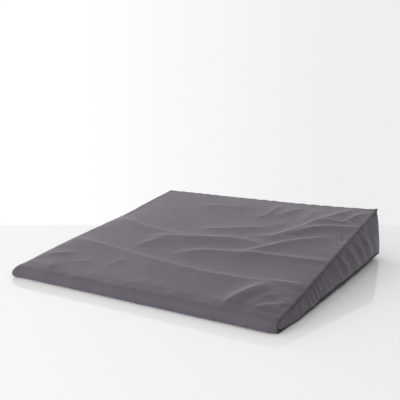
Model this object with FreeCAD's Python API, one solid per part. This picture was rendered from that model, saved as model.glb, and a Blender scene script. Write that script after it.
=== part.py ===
"""Incline wedge mat: a solid foam wedge in a sewn cloth cover that closes with a coil zip across the rear wall.

Frame: X runs along the mat's width, +Y from the thin nose to the tall rear wall, +Z up.
The origin is the centre of the footprint, on the floor. All sizes are in millimetres.

The cover is cut as separate panels. At each seam the edges of both panels turn inwards: one panel is folded
back on itself (a hem), and its neighbour's edge goes on behind that hem (a flange). So a wall is, from the
outside in: its own cloth, its hem, the neighbour's flange, and then the foam.
"""
import FreeCAD
import Part
import math
import os

V = FreeCAD.Vector

# Outer form of the covered wedge
WIDTH = 600.0
DEPTH = 570.0
REAR_HEIGHT = 114.0
NOSE_HEIGHT = 23.0
NOSE_TOP_RADIUS = 15.0
NOSE_BOTTOM_RADIUS = 6.0

# Cover cloth and its seams
CLOTH = 0.6
PLY_GAP = 0.15
SEAM_ALLOWANCE = 10.0
BASE_TURN_UP = 8.0
BASE_EDGE_RADIUS = 5.0

# Main folds of the loose top sheet: each is a ridge with a short back flank and a long front flank.
# Its crest runs through points: shares of half the width, of half the depth, and of the fold height over the slope.
FOLD_HEIGHT = 5.0
FOLD_BACK = 13.0
FOLD_FRONT = 38.0
FOLD_ROOT = 2.0
FOLDS = {
    "long crease": [(-0.95, -0.41, -0.20), (-0.58, -0.46, 0.72), (0.00, -0.57, 0.92), (0.52, -0.61, 0.80),
                    (0.95, -0.54, -0.20)],
    "left seam fold": [(-0.95, 0.13, -0.20), (-0.69, 0.05, 0.92), (-0.50, -0.02, 0.88), (-0.20, -0.04, -0.20)],
    "deep middle fold": [(-0.46, -0.17, -0.20), (-0.25, -0.10, 1.04), (0.20, -0.01, 1.16), (0.55, 0.01, -0.20)],
    "right middle fold": [(-0.06, -0.42, -0.20), (0.11, -0.28, 0.84), (0.62, -0.20, 0.84), (0.95, -0.15, -0.20)],
    "branch fold": [(0.36, -0.22, -0.20), (0.50, -0.10, 0.88), (0.59, 0.05, 0.96), (0.87, 0.28, -0.20)],
    "rear corner fold": [(0.25, 0.09, -0.20), (0.50, 0.20, 0.96), (0.64, 0.52, 1.04), (0.81, 0.95, -0.20)],
    "right seam fold": [(0.55, 0.19, -0.20), (0.67, 0.37, 0.92), (0.80, 0.47, 0.92), (0.95, 0.53, -0.20)],
    "front corner fold": [(0.65, -0.95, -0.20), (0.67, -0.86, 0.92), (0.71, -0.76, 1.04), (0.78, -0.60, -0.20)],
}

# Foam core inside the cover
CORE_SIDE_EASE = 0.4
CORE_TOP_EASE = 0.5
CORE_REAR_EASE = 0.4
CORE_NOSE_RELIEF = 7.0

# Coil zip across the rear wall
ZIP_HEIGHT = 56.0
ZIP_OPENING = 15.0
TAPE_WIDTH = 15.0
TAPE = 0.6
TAPE_SETBACK = 1.4
COIL_HALF_WIDTH = 3.5
COIL_SPINE = 1.2
COIL_HEIGHT = 2.4
COIL_PITCH = 2.2
COIL_GAP = 0.18
COIL_OVERLAP = 0.8
COIL_SPREAD = 1.7
STOP_LENGTH = 4.0
STOP_WALL = 0.7
STOP_FROM_END = 24.0

# Slider and pull
SLIDER_LENGTH = 17.0
SLIDER_THROAT = 3.0
SLIDER_WALL = 1.1
SLIDER_PLAY = 0.25
SLIDER_CORNER = 1.3
SLIDER_EDGE = 0.35
WEDGE_LENGTH = 7.0
WEDGE_HALF_WIDTH = 0.6
BRIDGE_LENGTH = 10.0
BRIDGE_WIDTH = 3.0
BRIDGE_BAR = 1.1
PULL_THICKNESS = 1.6
PULL_LENGTH = 30.0
PULL_WIDTH = 8.0
PULL_ARM = 1.3
PULL_BAR_RADIUS = 0.7
PULL_PLAY = 0.2
PULL_RECESS = 0.4
PULL_RIM = 1.2

# Places worked out from the sizes above
SIDE = WIDTH / 2
REAR = DEPTH / 2
NOSE = -DEPTH / 2
NOSE_SEAM = NOSE + NOSE_BOTTOM_RADIUS
HEM_DEPTH = 2 * CLOTH
FLANGE_OUT = HEM_DEPTH + PLY_GAP
FLANGE_IN = FLANGE_OUT + CLOTH
UNDER_PANEL = CLOTH + PLY_GAP
PAST_FLANGE = FLANGE_IN + PLY_GAP
CORE_EDGE_RADIUS = BASE_EDGE_RADIUS - CLOTH
BEYOND = 50.0

TAPE_OUTER = REAR - FLANGE_OUT
TAPE_INNER = TAPE_OUTER - TAPE
COIL_TOP = TAPE_OUTER + COIL_HEIGHT
PLATE_TOP = COIL_TOP + SLIDER_PLAY + SLIDER_WALL
PLATE_BOTTOM = TAPE_INNER - SLIDER_PLAY - SLIDER_WALL
STOP_END = SIDE - STOP_FROM_END
SLIDER_FRONT = STOP_END - STOP_LENGTH - 2 * SLIDER_PLAY
SLIDER_REAR = SLIDER_FRONT - SLIDER_LENGTH
SLIDER_CENTRE = (SLIDER_FRONT + SLIDER_REAR) / 2
WEDGE_REAR = SLIDER_FRONT - WEDGE_LENGTH - SLIDER_WALL
SPLIT_START = SLIDER_REAR + SLIDER_THROAT
PULL_AXIS_Y = PLATE_TOP + PULL_PLAY + PULL_THICKNESS / 2


# ---------------------------------------------------------------- outlines and simple solids

def in_yz(y, z):
    return V(0, y, z)


def in_xz(x, z):
    return V(x, 0, z)


def in_xy(x, y):
    return V(x, y, 0)


def outline(points, radii, plane):
    """A closed face through the points, each corner rounded with a tangent arc of its radius (0 is sharp)."""
    count = len(points)
    starts, ends, middles = [], [], []
    for i in range(count):
        corner = plane(*points[i])
        before = plane(*points[i - 1]) - corner
        after = plane(*points[(i + 1) % count]) - corner
        before.normalize()
        after.normalize()
        half = before.getAngle(after) / 2
        radius = radii[i]
        if radius <= 0:
            starts.append(corner)
            ends.append(corner)
            middles.append(None)
            continue
        reach = radius / math.tan(half)
        towards = before + after
        towards.normalize()
        starts.append(corner + before * reach)
        ends.append(corner + after * reach)
        middles.append(corner + towards * (radius / math.sin(half) - radius))
    edges = []
    for i in range(count):
        if middles[i] is not None:
            edges.append(Part.Arc(starts[i], middles[i], ends[i]).toShape())
        following = starts[(i + 1) % count]
        if ends[i].distanceToPoint(following) > 1e-6:
            edges.append(Part.LineSegment(ends[i], following).toShape())
    return Part.Face(Part.Wire(edges))


def block(x_low, x_high, y_low, y_high, z_low, z_high):
    """A box given by its two corners."""
    return Part.makeBox(x_high - x_low, y_high - y_low, z_high - z_low, V(x_low, y_low, z_low))


def joined(*shapes):
    """One solid from several that touch, without the seams between coplanar faces."""
    return shapes[0].fuse(list(shapes[1:])).removeSplitter()


def mirrored(shape):
    """The same shape on the other side of the mat's middle plane."""
    return shape.mirror(V(0, 0, 0), V(1, 0, 0))


def slope_height(y, inset=0.0):
    """Height of the sloping top at depth y, for a surface that lies inset under the outer one."""
    rise = (REAR_HEIGHT - NOSE_HEIGHT) / DEPTH
    return NOSE_HEIGHT + (y - NOSE) * rise - inset * math.hypot(1, rise)


def slope_depth(height, inset=0.0):
    """Depth y at which that same surface reaches the height."""
    rise = (REAR_HEIGHT - NOSE_HEIGHT) / DEPTH
    return NOSE + (height - NOSE_HEIGHT + inset * math.hypot(1, rise)) / rise


def wedge(front, rear, bottom, top, x_low, x_high, relief=0.0, heel=0.0):
    """A wedge that lies inside the outer form by the given inset at each of its four faces.

    The upper nose radius gives way where the front isn't high enough for both radii.
    """
    low_y, high_y = NOSE + front, REAR - rear
    points = [(low_y, bottom), (high_y, bottom), (high_y, slope_height(high_y, top)), (low_y, slope_height(low_y, top))]
    lower = max(NOSE_BOTTOM_RADIUS - front + relief, 0)
    half_corner = (math.pi / 2 + math.atan2(REAR_HEIGHT - NOSE_HEIGHT, DEPTH)) / 2
    room = slope_height(low_y, top) - bottom - lower - CLOTH
    upper = max(min(NOSE_TOP_RADIUS - front, room * math.tan(half_corner)), 0)
    face = outline(points, [lower, heel, 0, upper], in_yz)
    face.translate(V(x_low, 0, 0))
    return face.extrude(V(x_high - x_low, 0, 0))


def inside(inset, x_low, x_high, open_rear=False, open_bottom=False):
    """The wedge that lies inset inside the outer form, with the rear or the bottom left out to BEYOND."""
    rear = -BEYOND if open_rear else inset
    solid = wedge(inset, rear, inset, inset, x_low, x_high)
    if open_bottom:
        under = block(x_low, x_high, NOSE_SEAM, REAR - rear, -BEYOND, inset + CLOTH)
        solid = solid.fuse(under)
    return solid


# ---------------------------------------------------------------- foam core

def foam_core():
    """The cut foam wedge: it stands on the base panel, and its lower nose is cut away to clear the seam there."""
    side = SIDE - PAST_FLANGE - CORE_SIDE_EASE
    rear = REAR - PLATE_BOTTOM + SLIDER_PLAY + CORE_REAR_EASE
    solid = wedge(PAST_FLANGE + CORE_SIDE_EASE, rear, UNDER_PANEL, CLOTH + CORE_TOP_EASE, -side, side,
                  CORE_NOSE_RELIEF, CORE_EDGE_RADIUS)
    corners = [(-side, UNDER_PANEL), (side, UNDER_PANEL), (side, REAR_HEIGHT), (-side, REAR_HEIGHT)]
    section = outline(corners, [CORE_EDGE_RADIUS, CORE_EDGE_RADIUS, 0, 0], in_xz)
    section.translate(V(0, NOSE, 0))
    return solid.common(section.extrude(V(0, DEPTH, 0)))


# ---------------------------------------------------------------- cover panels

def fold_ridge(path):
    """One fold as a solid ridge: upright triangles square to its path, lofted smoothly from one to the next.

    The path has its front flank on its right. A height below zero sinks the crest's end under the slope. The ridge
    keeps between the side seams.
    """
    crests = []
    for x, y, height in path:
        crests.append(V(x * SIDE, y * DEPTH / 2, slope_height(y * DEPTH / 2) + height * FOLD_HEIGHT))
    sections = []
    for i, crest in enumerate(crests):
        along = crests[min(i + 1, len(crests) - 1)] - crests[max(i - 1, 0)]
        back = V(-along.y, along.x, 0)
        back.normalize()
        feet = []
        for place in (crest + back * FOLD_BACK, crest - back * FOLD_FRONT):
            feet.append(V(place.x, place.y, slope_height(place.y) - FOLD_ROOT))
        sections.append(Part.makePolygon([feet[0], crest, feet[1], feet[0]]))
    between_seams = block(-SIDE + CLOTH, SIDE - CLOTH, NOSE, REAR, 0, REAR_HEIGHT + BEYOND)
    return Part.makeLoft(sections, True, False).common(between_seams)


def top_panel():
    """One sheet down the slope, with its main folds, and round the nose to the seam under it.

    Its flanges go on behind its neighbours.
    """
    # Each fold rises out of the slope, and the same ridge one cloth lower is hollowed out beneath it
    full = wedge(0, 0, 0, 0, -SIDE, SIDE)
    pitch = math.atan2(REAR_HEIGHT - NOSE_HEIGHT, DEPTH)
    ridges = [fold_ridge(path) for path in FOLDS.values()]
    hollows = [ridge.copy() for ridge in ridges]
    for hollow in hollows:
        hollow.translate(V(0, math.sin(pitch), -math.cos(pitch)) * CLOTH)
    sheet = full.fuse(ridges).cut(inside(CLOTH, -SIDE, SIDE, open_rear=True).fuse(hollows))
    sheet = sheet.cut(block(-SIDE, SIDE, NOSE_SEAM, REAR + BEYOND, -BEYOND, CLOTH + PLY_GAP))

    # Side flanges hang inside the gussets, along the slope and down the nose to the base panel's own flange
    flange_low = BASE_TURN_UP + SEAM_ALLOWANCE / 2
    x_out, x_in = SIDE - FLANGE_OUT, SIDE - FLANGE_IN
    band = inside(CLOTH, x_in, x_out, open_rear=True).cut(inside(CLOTH + SEAM_ALLOWANCE, x_in, x_out, open_rear=True))
    keep = block(x_in, x_out, NOSE, REAR - PAST_FLANGE, flange_low, REAR_HEIGHT)
    under_slope = wedge(0, 0, -BEYOND, 0, x_in, x_out).cut(wedge(CLOTH + SEAM_ALLOWANCE, 0, -BEYOND,
                                                                 CLOTH + SEAM_ALLOWANCE, x_in, x_out))
    side_flange = band.common(keep).common(under_slope)

    # The rear flange hangs inside the upper rear strip, and stops short of the gussets' own flanges
    x_end = SIDE - CLOTH - SEAM_ALLOWANCE - PLY_GAP
    z_under = slope_height(REAR, CLOTH)
    rear_flange = block(-x_end, x_end, REAR - FLANGE_IN, REAR - FLANGE_OUT, z_under - SEAM_ALLOWANCE, REAR_HEIGHT)
    rear_flange = rear_flange.common(full)

    # The hem under the nose is the sheet folded back on itself
    x_hem = SIDE - BASE_EDGE_RADIUS - PLY_GAP
    hem = inside(CLOTH, -x_hem, x_hem).cut(inside(HEM_DEPTH, -x_hem, x_hem))
    hem = hem.common(block(-x_hem, x_hem, NOSE, NOSE_SEAM, 0, SEAM_ALLOWANCE))
    return joined(sheet, side_flange, mirrored(side_flange), rear_flange, hem)


def right_gusset():
    """The tapering side wall, hemmed along its top, nose and bottom edges, with a flange behind the rear wall."""
    bottom = BASE_TURN_UP + PLY_GAP
    region = block(0, SIDE, NOSE, REAR, bottom, REAR_HEIGHT)
    face = wedge(UNDER_PANEL, UNDER_PANEL, 0, UNDER_PANEL, SIDE - CLOTH, SIDE).common(region)
    hem_inset = UNDER_PANEL + SEAM_ALLOWANCE
    hem_box = block(0, SIDE, NOSE, REAR - PAST_FLANGE, bottom, REAR_HEIGHT)
    hem = wedge(UNDER_PANEL, UNDER_PANEL, 0, UNDER_PANEL, SIDE - HEM_DEPTH, SIDE - CLOTH).common(hem_box)
    window = wedge(hem_inset, -BEYOND, 0, hem_inset, SIDE - HEM_DEPTH, SIDE - CLOTH)
    window = window.common(block(0, SIDE, NOSE, REAR + BEYOND, bottom + SEAM_ALLOWANCE, REAR_HEIGHT))
    flange = block(SIDE - CLOTH - SEAM_ALLOWANCE, SIDE - CLOTH, REAR - FLANGE_IN, REAR - FLANGE_OUT,
                   bottom, slope_height(REAR, 0))
    flange = flange.common(wedge(0, 0, 0, UNDER_PANEL, 0, SIDE))
    return joined(face, hem.cut(window), flange)


def rear_strip(z_low, z_high):
    """One strip of the rear wall, hemmed all round behind its face."""
    ceiling = wedge(0, 0, 0, UNDER_PANEL, -SIDE, SIDE)
    face = block(-SIDE, SIDE, REAR - CLOTH, REAR, z_low, z_high).common(ceiling)
    x_hem = SIDE - UNDER_PANEL
    hem = block(-x_hem, x_hem, REAR - HEM_DEPTH, REAR - CLOTH, z_low, z_high).common(ceiling)
    window = block(-x_hem + SEAM_ALLOWANCE, x_hem - SEAM_ALLOWANCE, REAR - HEM_DEPTH, REAR - CLOTH,
                   z_low + SEAM_ALLOWANCE, face.BoundBox.ZMax - SEAM_ALLOWANCE)
    return joined(face, hem.cut(window))


def base_panel():
    """The floor of the cover: it turns up round the bottom edges, and its flanges go on behind the walls."""
    low_y = NOSE - BEYOND
    outer = block(-SIDE, SIDE, low_y, REAR, 0, BASE_TURN_UP)
    inner = block(-SIDE + CLOTH, SIDE - CLOTH, low_y, REAR - CLOTH, CLOTH, BASE_TURN_UP + BEYOND)
    outer = rounded_bottom(outer, 0, BASE_EDGE_RADIUS)
    inner = rounded_bottom(inner, CLOTH, BASE_EDGE_RADIUS - CLOTH)
    behind_seam = block(-SIDE, SIDE, NOSE_SEAM + PLY_GAP, REAR, 0, BASE_TURN_UP)
    tray = outer.cut(inner).common(behind_seam.fuse(inside(UNDER_PANEL, -SIDE, SIDE, open_rear=True)))

    top = BASE_TURN_UP + SEAM_ALLOWANCE
    turn = BASE_TURN_UP - CLOTH
    y_front = max(NOSE + PAST_FLANGE + SEAM_ALLOWANCE, slope_depth(top + UNDER_PANEL, CLOTH + SEAM_ALLOWANCE))
    y_side_end = REAR - PAST_FLANGE
    side_flange = block(SIDE - FLANGE_IN, SIDE - FLANGE_OUT, y_front, y_side_end, turn, top)
    side_turn = block(SIDE - FLANGE_IN, SIDE - CLOTH, y_front, y_side_end, turn, BASE_TURN_UP)
    x_rear = SIDE - CLOTH - SEAM_ALLOWANCE - PLY_GAP
    rear_flange = block(-x_rear, x_rear, REAR - FLANGE_IN, REAR - FLANGE_OUT, turn, top)
    rear_turn = block(-x_rear, x_rear, REAR - FLANGE_IN, REAR - CLOTH, turn, BASE_TURN_UP)

    # The front flange goes up through the nose seam and lies on the top panel's hem
    x_front = SIDE - BASE_EDGE_RADIUS - PLY_GAP
    riser = block(-x_front, x_front, NOSE_SEAM + PLY_GAP, NOSE_SEAM + UNDER_PANEL, 0, FLANGE_IN)
    curve = inside(FLANGE_OUT, -x_front, x_front).cut(inside(FLANGE_IN, -x_front, x_front))
    curve = curve.common(block(-x_front, x_front, NOSE, NOSE_SEAM + UNDER_PANEL, 0, SEAM_ALLOWANCE))
    return joined(tray, side_flange, side_turn, mirrored(side_flange), mirrored(side_turn),
                  rear_flange, rear_turn, riser, curve)


def rounded_bottom(solid, z_floor, radius):
    """The block with its two side edges and its rear edge rounded where they meet the floor."""
    chosen = []
    for edge in solid.Edges:
        box = edge.BoundBox
        on_floor = box.ZMax < z_floor + 0.01
        at_nose_end = box.YMax < NOSE
        if on_floor and not at_nose_end:
            chosen.append(edge)
    return solid.makeFillet(radius, chosen)


# ---------------------------------------------------------------- zip

def zip_tape(side):
    """One half of the tape: side is +1 above the teeth and -1 below them."""
    x_end = SIDE - CLOTH - SEAM_ALLOWANCE - PLY_GAP
    near = ZIP_HEIGHT + side * TAPE_SETBACK
    far = ZIP_HEIGHT + side * (TAPE_SETBACK + TAPE_WIDTH)
    return block(-x_end, x_end, TAPE_INNER, TAPE_OUTER, min(near, far), max(near, far))


def spread_at(x):
    """How far each coil row has moved out from the closed chain at x: it parts inside the slider."""
    share = (x - SPLIT_START) / (WEDGE_REAR - SPLIT_START)
    return COIL_SPREAD * min(max(share, 0), 1)


def zip_coil(side):
    """One row of the coil as a comb: the filament's back is the spine, and its heads mesh with the other row."""
    start = -STOP_END + STOP_LENGTH + PLY_GAP
    end = STOP_END - STOP_LENGTH - PLY_GAP
    first = start + (COIL_PITCH / 2 if side < 0 else 0)
    count = int((end - first) / COIL_PITCH)
    tooth = COIL_PITCH / 2 - COIL_GAP
    comb = []
    for i in range(count):
        left = first + i * COIL_PITCH
        right = left + tooth
        shift = spread_at(left + tooth / 2)
        root = COIL_HALF_WIDTH - COIL_SPINE + shift
        head = shift - COIL_OVERLAP
        comb += [(left, root), (left, head), (right, head), (right, root)]
    back = [(end, COIL_HALF_WIDTH + spread_at(end)), (WEDGE_REAR, COIL_HALF_WIDTH + spread_at(WEDGE_REAR)),
            (SPLIT_START, COIL_HALF_WIDTH), (start, COIL_HALF_WIDTH)]
    ends = [(start, COIL_HALF_WIDTH - COIL_SPINE)] if first > start else []
    tail = [(end, COIL_HALF_WIDTH - COIL_SPINE + spread_at(end))]
    points = [V(x, TAPE_OUTER, ZIP_HEIGHT + side * z) for x, z in ends + comb + tail + back]
    face = Part.Face(Part.makePolygon(points + points[:1]))
    return face.extrude(V(0, COIL_HEIGHT, 0))


def clip(x_low, z_near, z_far):
    """A stop: a small clip that is pressed round the tape edge from both faces, with a slot for the tape."""
    z_low, z_high = min(z_near, z_far), max(z_near, z_far)
    body = outline([(x_low, z_low), (x_low + STOP_LENGTH, z_low), (x_low + STOP_LENGTH, z_high), (x_low, z_high)],
                   [0.8] * 4, in_xz)
    body.translate(V(0, TAPE_INNER - STOP_WALL, 0))
    return body.extrude(V(0, COIL_TOP - TAPE_INNER + STOP_WALL, 0))


def zip_top_stop(side):
    """The clip that keeps the slider from running off one half of the tape at the closed end."""
    near = ZIP_HEIGHT + side * WEDGE_HALF_WIDTH
    far = ZIP_HEIGHT + side * (COIL_HALF_WIDTH + COIL_SPREAD)
    tape_room = block(-SIDE, SIDE, TAPE_INNER, TAPE_OUTER, *sorted((ZIP_HEIGHT + side * TAPE_SETBACK,
                                                                  ZIP_HEIGHT + side * BEYOND)))
    return clip(STOP_END - STOP_LENGTH, near, far).cut(tape_room)


def zip_bottom_stop():
    """The clip that holds both halves of the tape together at the open end."""
    reach = COIL_HALF_WIDTH + STOP_WALL
    solid = clip(-STOP_END, ZIP_HEIGHT - reach, ZIP_HEIGHT + reach)
    for side in (-1, 1):
        edges = sorted((ZIP_HEIGHT + side * TAPE_SETBACK, ZIP_HEIGHT + side * BEYOND))
        solid = solid.cut(block(-SIDE, SIDE, TAPE_INNER, TAPE_OUTER, *edges))
    return solid


def slider_plan(half_rear, half_front, corner):
    """The slider seen square on: narrow at the closed chain, and wide where the two rows come in."""
    points = [(SLIDER_REAR, -half_rear), (SPLIT_START, -half_rear), (WEDGE_REAR, -half_front),
              (SLIDER_FRONT, -half_front), (SLIDER_FRONT, half_front), (WEDGE_REAR, half_front),
              (SPLIT_START, half_rear), (SLIDER_REAR, half_rear)]
    bend = 2 * corner
    return outline(points, [corner, bend, bend, corner, corner, bend, bend, corner], in_xz)


def zip_slider():
    """Two plates round the chain, joined by the wedge that parts its rows, with a bridge for the pull."""
    channel_rear = COIL_HALF_WIDTH + SLIDER_PLAY
    channel_front = channel_rear + COIL_SPREAD
    plan = slider_plan(channel_rear + SLIDER_WALL, channel_front + SLIDER_WALL, SLIDER_CORNER)
    plan.translate(V(0, PLATE_BOTTOM, ZIP_HEIGHT))
    body = plan.extrude(V(0, PLATE_TOP - PLATE_BOTTOM, 0))
    rims = []
    for edge in body.Edges:
        box = edge.BoundBox
        if box.YMin > PLATE_TOP - 0.01 or box.YMax < PLATE_BOTTOM + 0.01:
            rims.append(edge)
    body = body.makeChamfer(SLIDER_EDGE, rims)

    half_front = channel_front
    channel_points = [(SLIDER_REAR - BEYOND, -channel_rear), (SPLIT_START, -channel_rear),
                      (WEDGE_REAR, -half_front), (SLIDER_FRONT + BEYOND, -half_front),
                      (SLIDER_FRONT + BEYOND, half_front), (WEDGE_REAR, half_front),
                      (SPLIT_START, channel_rear), (SLIDER_REAR - BEYOND, channel_rear)]
    channel = outline(channel_points, [0] * 8, in_xz)
    channel.translate(V(0, TAPE_INNER - SLIDER_PLAY, ZIP_HEIGHT))
    channel = channel.extrude(V(0, COIL_TOP - TAPE_INNER + 2 * SLIDER_PLAY, 0))
    slot = block(SLIDER_REAR - BEYOND, SLIDER_FRONT + BEYOND, TAPE_INNER - SLIDER_PLAY, TAPE_OUTER + SLIDER_PLAY,
                 ZIP_HEIGHT - BEYOND, ZIP_HEIGHT + BEYOND)
    body = body.cut(channel).cut(slot)

    parting = outline([(WEDGE_REAR, 0), (WEDGE_REAR + WEDGE_LENGTH / 2, -WEDGE_HALF_WIDTH),
                       (SLIDER_FRONT - SLIDER_EDGE, -WEDGE_HALF_WIDTH),
                       (SLIDER_FRONT - SLIDER_EDGE, WEDGE_HALF_WIDTH),
                       (WEDGE_REAR + WEDGE_LENGTH / 2, WEDGE_HALF_WIDTH)], [0] * 5, in_xz)
    parting.translate(V(0, PLATE_BOTTOM + SLIDER_WALL / 2, ZIP_HEIGHT))
    parting = parting.extrude(V(0, PLATE_TOP - PLATE_BOTTOM - SLIDER_WALL, 0))
    return joined(body, parting, slider_bridge())


def slider_bridge():
    """The arch over the upper plate that the pull's bar turns in."""
    half = BRIDGE_LENGTH / 2
    window = PULL_THICKNESS + 2 * PULL_PLAY
    crown = PLATE_TOP + window + BRIDGE_BAR
    foot = PLATE_TOP - SLIDER_WALL / 2
    arch = outline([(-half, foot), (half, foot), (half, crown), (-half, crown)], [0, 0, 2.2, 2.2], in_xy)
    gap_half = half - BRIDGE_BAR
    gap = outline([(-gap_half, PLATE_TOP), (gap_half, PLATE_TOP), (gap_half, PLATE_TOP + window),
                   (-gap_half, PLATE_TOP + window)], [0, 0, 0.9, 0.9], in_xy)
    solids = []
    for face in (arch, gap):
        face.translate(V(SLIDER_CENTRE, 0, ZIP_HEIGHT - BRIDGE_WIDTH / 2))
        solids.append(face.extrude(V(0, 0, BRIDGE_WIDTH)))
    return solids[0].cut(solids[1])


def zip_pull():
    """The pull: a round bar under the bridge, two arms past its ends, and a grip with a recessed face."""
    eye = BRIDGE_LENGTH / 2 + 1.2
    half = PULL_WIDTH / 2
    shoulder = BRIDGE_WIDTH / 2 + PULL_PLAY * 2 + PULL_ARM
    tip = -PULL_LENGTH
    plate = outline([(0, -shoulder), (0, shoulder), (-eye, shoulder), (-eye - PULL_ARM, half), (tip, half),
                     (tip, -half), (-eye - PULL_ARM, -half), (-eye, -shoulder)],
                    [0, 0, 0, 1.2, 3.4, 3.4, 1.2, 0], in_xz)
    plate.translate(V(0, -PULL_THICKNESS / 2, 0))
    plate = plate.extrude(V(0, PULL_THICKNESS, 0))
    eye_half = BRIDGE_WIDTH / 2 + 2 * PULL_PLAY
    hole = outline([(BEYOND, -eye_half), (BEYOND, eye_half), (-eye, eye_half), (-eye, -eye_half)],
                   [0, 0, 0.8, 0.8], in_xz)
    hole.translate(V(0, -PULL_THICKNESS, 0))
    hole = hole.extrude(V(0, 2 * PULL_THICKNESS, 0))
    bar = Part.makeCylinder(PULL_BAR_RADIUS, 2 * shoulder, V(0, 0, -shoulder), V(0, 0, 1))
    knuckles = [Part.makeCylinder(PULL_THICKNESS / 2, PULL_ARM, V(0, 0, z), V(0, 0, 1)) for z in (-shoulder, eye_half)]
    near, far = -eye - PULL_ARM - PULL_RIM, tip + PULL_RIM
    wide = half - PULL_RIM
    recess = outline([(near, -wide), (near, wide), (far, wide), (far, -wide)], [1.0, 1.0, 2.2, 2.2], in_xz)
    solid = plate.cut(hole)
    for low in (-PULL_THICKNESS, PULL_THICKNESS / 2 - PULL_RECESS):
        cutter = recess.copy()
        cutter.translate(V(0, low, 0))
        solid = solid.cut(cutter.extrude(V(0, PULL_THICKNESS / 2 + PULL_RECESS, 0)))
    solid = joined(solid, bar, *knuckles)
    solid.translate(V(SLIDER_CENTRE, PULL_AXIS_Y, ZIP_HEIGHT))
    return solid


# ---------------------------------------------------------------- assembly

def all_parts():
    """Every piece of the mat by its name."""
    gusset = right_gusset()
    lower_edge = ZIP_HEIGHT - ZIP_OPENING / 2
    upper_edge = ZIP_HEIGHT + ZIP_OPENING / 2
    return {
        "foam_core": foam_core(),
        "cover_top_panel": top_panel(),
        "cover_right_gusset": gusset,
        "cover_left_gusset": mirrored(gusset),
        "cover_rear_strip_upper": rear_strip(upper_edge, REAR_HEIGHT),
        "cover_rear_strip_lower": rear_strip(BASE_TURN_UP + PLY_GAP, lower_edge),
        "cover_base_panel": base_panel(),
        "zip_tape_upper": zip_tape(1),
        "zip_tape_lower": zip_tape(-1),
        "zip_coil_upper": zip_coil(1),
        "zip_coil_lower": zip_coil(-1),
        "zip_top_stop_upper": zip_top_stop(1),
        "zip_top_stop_lower": zip_top_stop(-1),
        "zip_bottom_stop": zip_bottom_stop(),
        "zip_slider": zip_slider(),
        "zip_pull": zip_pull(),
    }


def main():
    os.makedirs("parts", exist_ok=True)
    for name, shape in all_parts().items():
        box = shape.BoundBox
        print(f"{name}: solids {len(shape.Solids)}, valid {shape.isValid()}, volume {shape.Volume:.1f} mm3, "
              f"x {box.XMin:.2f}..{box.XMax:.2f}, y {box.YMin:.2f}..{box.YMax:.2f}, z {box.ZMin:.2f}..{box.ZMax:.2f}")
        shape.exportStep(f"parts/{name}.step")
    print(f"slider travel {-(SLIDER_REAR + STOP_END - STOP_LENGTH - 2 * SLIDER_PLAY):.2f} mm, "
          f"pull axis at x {SLIDER_CENTRE:.3f}, y {PULL_AXIS_Y:.3f}, z {ZIP_HEIGHT:.3f} mm")


main()
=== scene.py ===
"""Looks of the incline wedge mat: the sewn woven cover with its folds, the foam inside, and the coil zip.

Lengths in the shape functions are millimetres, and each mesh is made in metres.
"""
import bpy
import math
import numpy as np
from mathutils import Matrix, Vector

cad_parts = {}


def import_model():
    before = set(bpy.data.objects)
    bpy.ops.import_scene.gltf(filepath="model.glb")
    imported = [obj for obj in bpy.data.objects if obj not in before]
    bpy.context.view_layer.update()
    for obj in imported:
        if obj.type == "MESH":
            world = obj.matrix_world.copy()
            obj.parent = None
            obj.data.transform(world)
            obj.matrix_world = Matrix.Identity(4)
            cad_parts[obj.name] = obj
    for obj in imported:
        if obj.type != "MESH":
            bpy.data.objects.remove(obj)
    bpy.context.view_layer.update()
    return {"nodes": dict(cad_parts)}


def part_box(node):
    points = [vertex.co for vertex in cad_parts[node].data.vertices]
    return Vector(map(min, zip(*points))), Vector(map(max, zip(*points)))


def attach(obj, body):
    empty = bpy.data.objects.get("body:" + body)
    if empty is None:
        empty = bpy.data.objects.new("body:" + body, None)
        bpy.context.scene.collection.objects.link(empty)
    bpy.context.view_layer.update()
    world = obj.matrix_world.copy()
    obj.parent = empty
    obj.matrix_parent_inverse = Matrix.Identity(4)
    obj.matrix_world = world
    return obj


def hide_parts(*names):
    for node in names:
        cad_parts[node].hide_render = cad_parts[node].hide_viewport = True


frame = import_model()

# ---------------------------------------------------------------- sizes, read from the CAD boxes

low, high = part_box("cover_top_panel")
SIDE = high.x * 1000
NOSE = low.y * 1000
REAR = high.y * 1000
HEIGHT = high.z * 1000
DEPTH = REAR - NOSE
NOSE_HEIGHT = 23.0
NOSE_TOP_RADIUS = 16.5
NOSE_BOTTOM_RADIUS = 8.5
PITCH = math.atan2(HEIGHT - NOSE_HEIGHT, DEPTH)
ZIP_HEIGHT = (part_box("zip_slider")[0].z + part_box("zip_slider")[1].z) * 500
UPPER_STRIP_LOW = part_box("cover_rear_strip_upper")[0].z * 1000
LOWER_STRIP_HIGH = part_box("cover_rear_strip_lower")[1].z * 1000

CLOTH = 0.7
OVER_ROLL = 2.4
TUCK = 5.2
TUCK_ROLL = 1.1
HEM_HEIGHT = 5.6
UPPER_STRIP = (UPPER_STRIP_LOW, HEIGHT - TUCK)
LOWER_STRIP = (HEM_HEIGHT + 1.2, LOWER_STRIP_HIGH)
STITCH_INSET = 4.0
STRIP_END_INSET = 2.4
STRIP_STANDOFF = 0.3
TOP_FLOOR_GAP = 0.8
GUSSET_FLOOR_GAP = 1.1

# Past the ends of the zip the strips close in on each other, down to a slit
CLOSING_START = 279
CLOSING_LENGTH = 8
CLOSING_REACH = 26
HALF_SLIT = 0.3

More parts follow.
